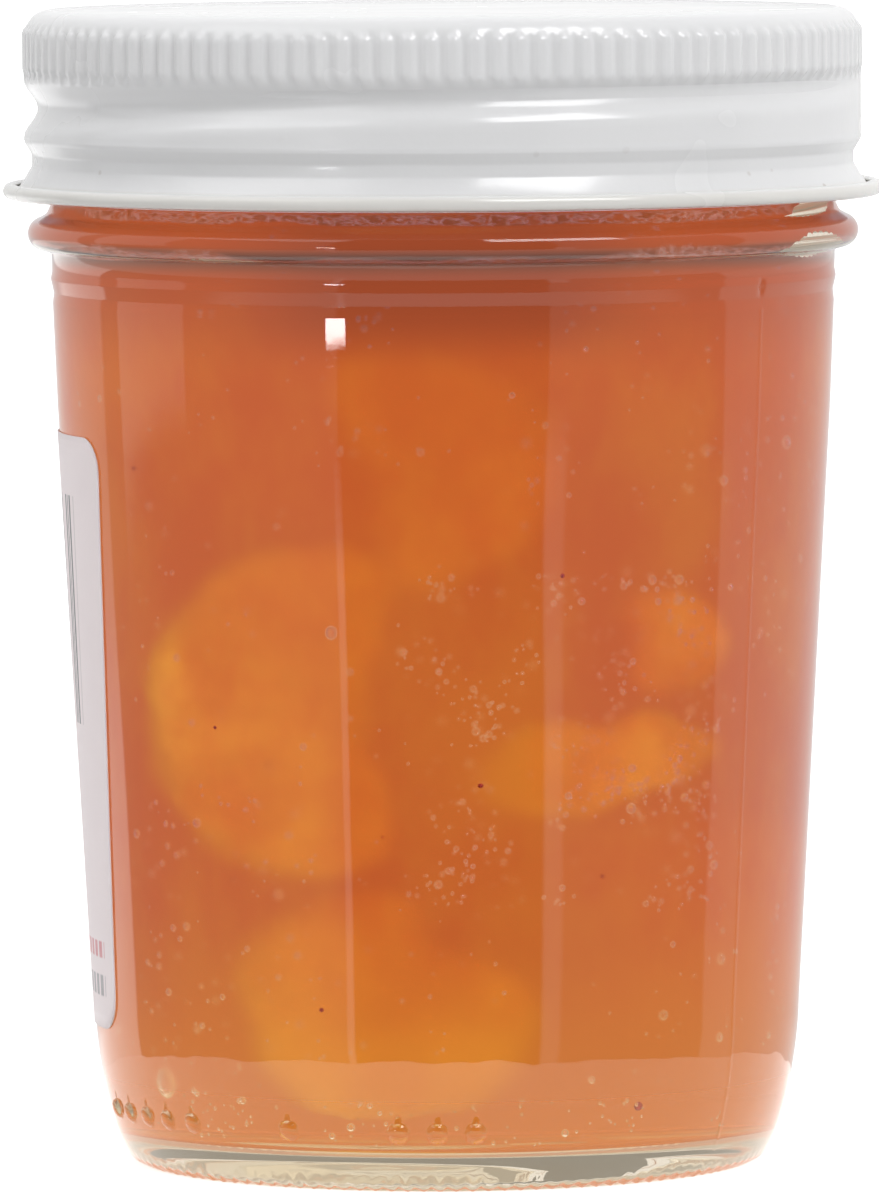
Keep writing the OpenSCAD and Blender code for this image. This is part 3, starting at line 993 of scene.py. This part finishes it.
def bubbles():
    """Air bubbles near the glass, a few of them large."""
    places, radii = [], []
    for count, left, right, low, high, deep, clump in SWARMS:
        made = 0
        while made < count:
            azimuth = math.radians(FRONT + dice.uniform(left, right))
            z = dice.uniform(low, high)
            size = BUBBLE_LEAST_R + min(dice.exponential(BUBBLE_MORE_R), BUBBLE_MOST_MORE_R)
            r = float(inner_wall(z)) - size - 0.3 - dice.exponential(deep)
            here = Vector((r * math.cos(azimuth), r * math.sin(azimuth), z))
            if r < 3 or noise.noise(here * 0.2) < clump:
                continue
            places.append(here[:])
            radii.append(size)
            made += 1
    for azimuth, r, z, size in BIG_BUBBLES:
        turn = math.radians(FRONT + azimuth)
        places.append((r * math.cos(turn), r * math.sin(turn), z))
        radii.append(size)
    stretch = np.ones((len(places), 3))
    stretch[:, 2] = 1 + 0.2 * dice.rand(len(places))
    stretch[-len(BIG_BUBBLES), 2] = 1.25
    return balls_object("air_bubbles", places, radii, stretch, AIR)


def specks():
    """Loose bits of skin."""
    places = [place for place, _ in SPECKS]
    radii = [radius for _, radius in SPECKS]
    for _ in range(MORE_SPECKS):
        azimuth = math.radians(dice.uniform(0, 360))
        z = dice.uniform(8, 78)
        r = float(inner_wall(z)) - 0.8 - dice.exponential(1.5)
        places.append((r * math.cos(azimuth), r * math.sin(azimuth), z))
        radii.append(dice.uniform(0.07, 0.17))
    stretch = 0.7 + 0.6 * dice.rand(len(places), 3)
    return balls_object("skin_specks", places, radii, stretch, SPECK)


def foam():
    """A thin crumpled film that clings to the neck under the lid, wider in some places and narrow in others.
    """
    angles = even_angles(720)
    heights = np.linspace(0, 1, 9)
    verts, cover = [], []
    for lift in (0.05, 0.3):
        for angle in angles:
            turn = math.radians(angle)
            ahead = Vector((math.cos(turn), math.sin(turn), 0))
            width = 1.5 + 1.6 * noise.noise(ahead * 3.1 + Vector((4, 0, 0)))
            width = max(0.4, width + 0.9 * smoothstep(15, 60, angle - FRONT))
            for h in heights:
                z = FILL_Z - 0.3 - width * h + 0.15 * noise.noise(ahead * 30)
                crumple = 0.12 * noise.noise(ahead * 34 + Vector((0, 0, z * 1.3)))
                r = float(inner_wall(z)) - 0.6 - lift + crumple
                verts.append((r * ahead.x, r * ahead.y, z))
                cover.append(math.sin(math.pi * min(1.0, 0.15 + 0.85 * h)) ** 0.5 if h < 1 else 0.0)
    n, m = len(angles), len(heights)
    size = n * m
    faces = []
    for i in range(n):
        k = (i + 1) % n
        for j in range(m - 1):
            quad = (i * m + j, k * m + j, k * m + j + 1, i * m + j + 1)
            faces.append(quad)
            faces.append(tuple(size + v for v in reversed(quad)))
        for j in (0, m - 1):
            faces.append((i * m + j, k * m + j, size + k * m + j, size + i * m + j))
    obj = mesh_object("foam_collar", verts, faces, FOAM)
    outward(obj)
    paint(obj.data, "cover", cover)
    return obj


for extra in (bubbles(), specks(), foam()):
    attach(extra, "jar")

# ---------------------------------------------------------------- stage, light and camera

# How bright the studio is that the jar mirrors, and how it looks through the glass.
ROOM = 0.88
ROOM_BEHIND_GLASS = 1.2
DARKEST_BEHIND_GLASS = 0.4
# Patches on the studio's sphere: brightness, (from, to) azimuth seen from above with 0 in front and + to the
# right, (from, to) height, and how soft the patch's edge is, all angles in degrees.
PATCHES = [
    (1.5, (-175, -122), (-21, -7), 1.0),
    (1.0, (92, 175), (-21, -7), 1.0),
    (0.43, (-122, 92), (-21, 34), 1.0),
    (1.0, (-113, -83), (-6.9, 34), 0.6),
    (0.05, (-31.5, 31.0), (-21, 62), 0.5),
    (1.0, (31.0, 37.0), (-21, -9), 1.2),
    (1.3, (-32.8, -30.6), (-30, -9.5), 0.5),
    (22.0, (-34.6, -28.9), (-6.9, -4.2), 0.3),
    (8.0, (14.0, 58.0), (34, 60), 2.0),
    (2.0, (-95.0, -31.0), (36, 58), 2.0),
]
# What lights matt surfaces: the sky at the horizon and overhead, and how much darker it is in front.
SKY_LOW = 0.62
SKY_HIGH = 1.08
SKY_FRONT = 0.72
FLOOR_ALBEDO = 0.55
FLOOR_GLOW = 0.8
MIRRORED_FLOOR_GAIN = 0.35
# The floor's half width and how far it lies below the foot, in metres.
FLOOR_HALF = 6
FLOOR_DROP = 0.00002
# The painted glow on the floor under the foot, an orange light that stands in for light that comes through
# the jelly and shows up through the base, and how far out the jar mirrors the floor.
PAINTED_GLOW_UNDER_JAR = (0.62, 0.50, 0.33)
TABLE_R = 67.0


def studio_world():
    """The camera sees white, the jar mirrors the studio's patches, and a soft sky lights what is matt."""
    world = bpy.data.worlds.new("studio")
    bpy.context.scene.world = world
    world.use_nodes = True
    g = Graph(world.node_tree)
    way = g.node("SeparateXYZ", Vector=g.node("TexCoord").outputs["Generated"])
    ahead = g.math("MULTIPLY", way.outputs["Y"], -1.0)
    azimuth = g.math("DEGREES", g.math("ARCTAN2", way.outputs["X"], ahead))
    height = g.math("DEGREES", g.math("ARCSINE", way.outputs["Z"]))
    mirrored = ROOM
    for brightness, (left, right), (low, high), edge in PATCHES:
        patch = g.math("MULTIPLY", g.inside(azimuth, left, right, edge), g.inside(height, low, high, edge))
        kept = g.math("MULTIPLY", g.math("SUBTRACT", 1.0, patch), mirrored)
        mirrored = g.math("ADD", kept, g.math("MULTIPLY", patch, brightness))
    side = g.ramp(g.math("ABSOLUTE", g.math("ADD", azimuth, 12.0)), 10.0, 105.0, SKY_FRONT, 1.0)
    shading = g.math("MULTIPLY", g.ramp(height, -10.0, 55.0, SKY_LOW, SKY_HIGH), side)
    path = g.node("LightPath")
    bent = g.math("MAXIMUM", g.math("MULTIPLY", mirrored, ROOM_BEHIND_GLASS), DARKEST_BEHIND_GLASS)
    light = g.blend(path.outputs["Is Transmission Ray"], mirrored, bent)
    light = g.blend(path.outputs["Is Diffuse Ray"], light, shading)
    light = g.blend(path.outputs["Is Camera Ray"], light, (1.0, 1.0, 1.0))
    back = g.node("Background", Color=light, Strength=1.0)
    g.node("OutputWorld", Surface=back.outputs[0])


def floor_piece():
    """A pale table, bright enough to burn out to white. Under the foot it has a painted shadow and a painted
    orange glow. Past TABLE_R, what the jar mirrors is the studio.
    """
    def build(g):
        grain = g.noise(g.position(), 30.0, 2.0)
        colour = g.blend(grain, (FLOOR_ALBEDO - 0.01,) * 3, (FLOOR_ALBEDO + 0.01,) * 3)
        path = g.node("LightPath")
        matt_ray = path.outputs["Is Diffuse Ray"]
        glossy_gain = g.math("MULTIPLY", path.outputs["Is Glossy Ray"], MIRRORED_FLOOR_GAIN)
        glow = g.math("ADD", g.math("SUBTRACT", 1.0, matt_ray), glossy_gain)
        glow = g.math("MULTIPLY", glow, FLOOR_GLOW)
        away = g.vector("LENGTH", g.node("NewGeometry").outputs["Position"])
        under = g.ramp(away, (FOOT_R - 2.0) * MM, FOOT_R * MM, 1.0, 0.0)
        # Painted shadow: the floor is painted dark under the foot.
        colour = g.blend(under, colour, (0.10, 0.08, 0.05))
        # Painted light: under the foot the floor glows orange, for light that comes through the jelly.
        table = g.node(
            "BsdfPrincipled", Base_Color=colour, Roughness=0.8, Specular_IOR_Level=0.1,
            Emission_Color=g.blend(under, (1.0, 1.0, 1.0), PAINTED_GLOW_UNDER_JAR), Emission_Strength=glow,
        ).outputs[0]
        wavy = g.math("MULTIPLY", g.noise(g.position(), 45.0, 2.0), 14 * MM)
        reach = g.math("ADD", away, wavy)
        seen = g.ramp(reach, (TABLE_R + 7) * MM, (TABLE_R + 8) * MM, 1.0, 0.0)
        for ray in ("Is Camera Ray", "Is Diffuse Ray", "Is Shadow Ray"):
            seen = g.math("MAXIMUM", seen, path.outputs[ray])
        return g.mix(seen, g.node("BsdfTransparent").outputs[0], table), None

    mesh = bpy.data.meshes.new("floor")
    half = FLOOR_HALF
    corners = [(-half, -half, 0), (half, -half, 0), (half, half, 0), (-half, half, 0)]
    mesh.from_pydata(corners, [], [(0, 1, 2, 3)])
    mesh.materials.append(material("pale_floor", build))
    obj = bpy.data.objects.new("floor", mesh)
    bpy.context.scene.collection.objects.link(obj)
    obj.location.z = -FLOOR_DROP


studio_world()
floor_piece()

# The camera, in metres: its place, what it looks at, how much it rolls, and the height that fills the frame.
CAMERA_AWAY = 1.1
CAMERA_UP = 0.123
CAMERA_TARGET = (-0.00047, 0, 0.048)
CAMERA_ROLL = -0.3
FRAME_HEIGHT = 0.1028
SENSOR = 36
data = bpy.data.cameras.new("camera")
data.sensor_width = SENSOR
camera = bpy.data.objects.new("camera", data)
bpy.context.scene.collection.objects.link(camera)
camera.location = (0, -CAMERA_AWAY, CAMERA_UP)
toward = Vector(CAMERA_TARGET) - camera.location
data.lens = SENSOR * toward.length / FRAME_HEIGHT
roll = Matrix.Rotation(math.radians(CAMERA_ROLL), 3, "Z")
camera.rotation_euler = (toward.to_track_quat("-Z", "Y").to_matrix() @ roll).to_euler()
data.clip_start = 0.01
bpy.context.scene.camera = camera

scene = bpy.context.scene
scene.view_settings.view_transform = "Standard"
scene.cycles.max_bounces = 20
scene.cycles.transmission_bounces = 20
scene.cycles.transparent_max_bounces = 16
scene.cycles.volume_bounces = 0
scene.cycles.glossy_bounces = 20
scene.cycles.use_denoising = True
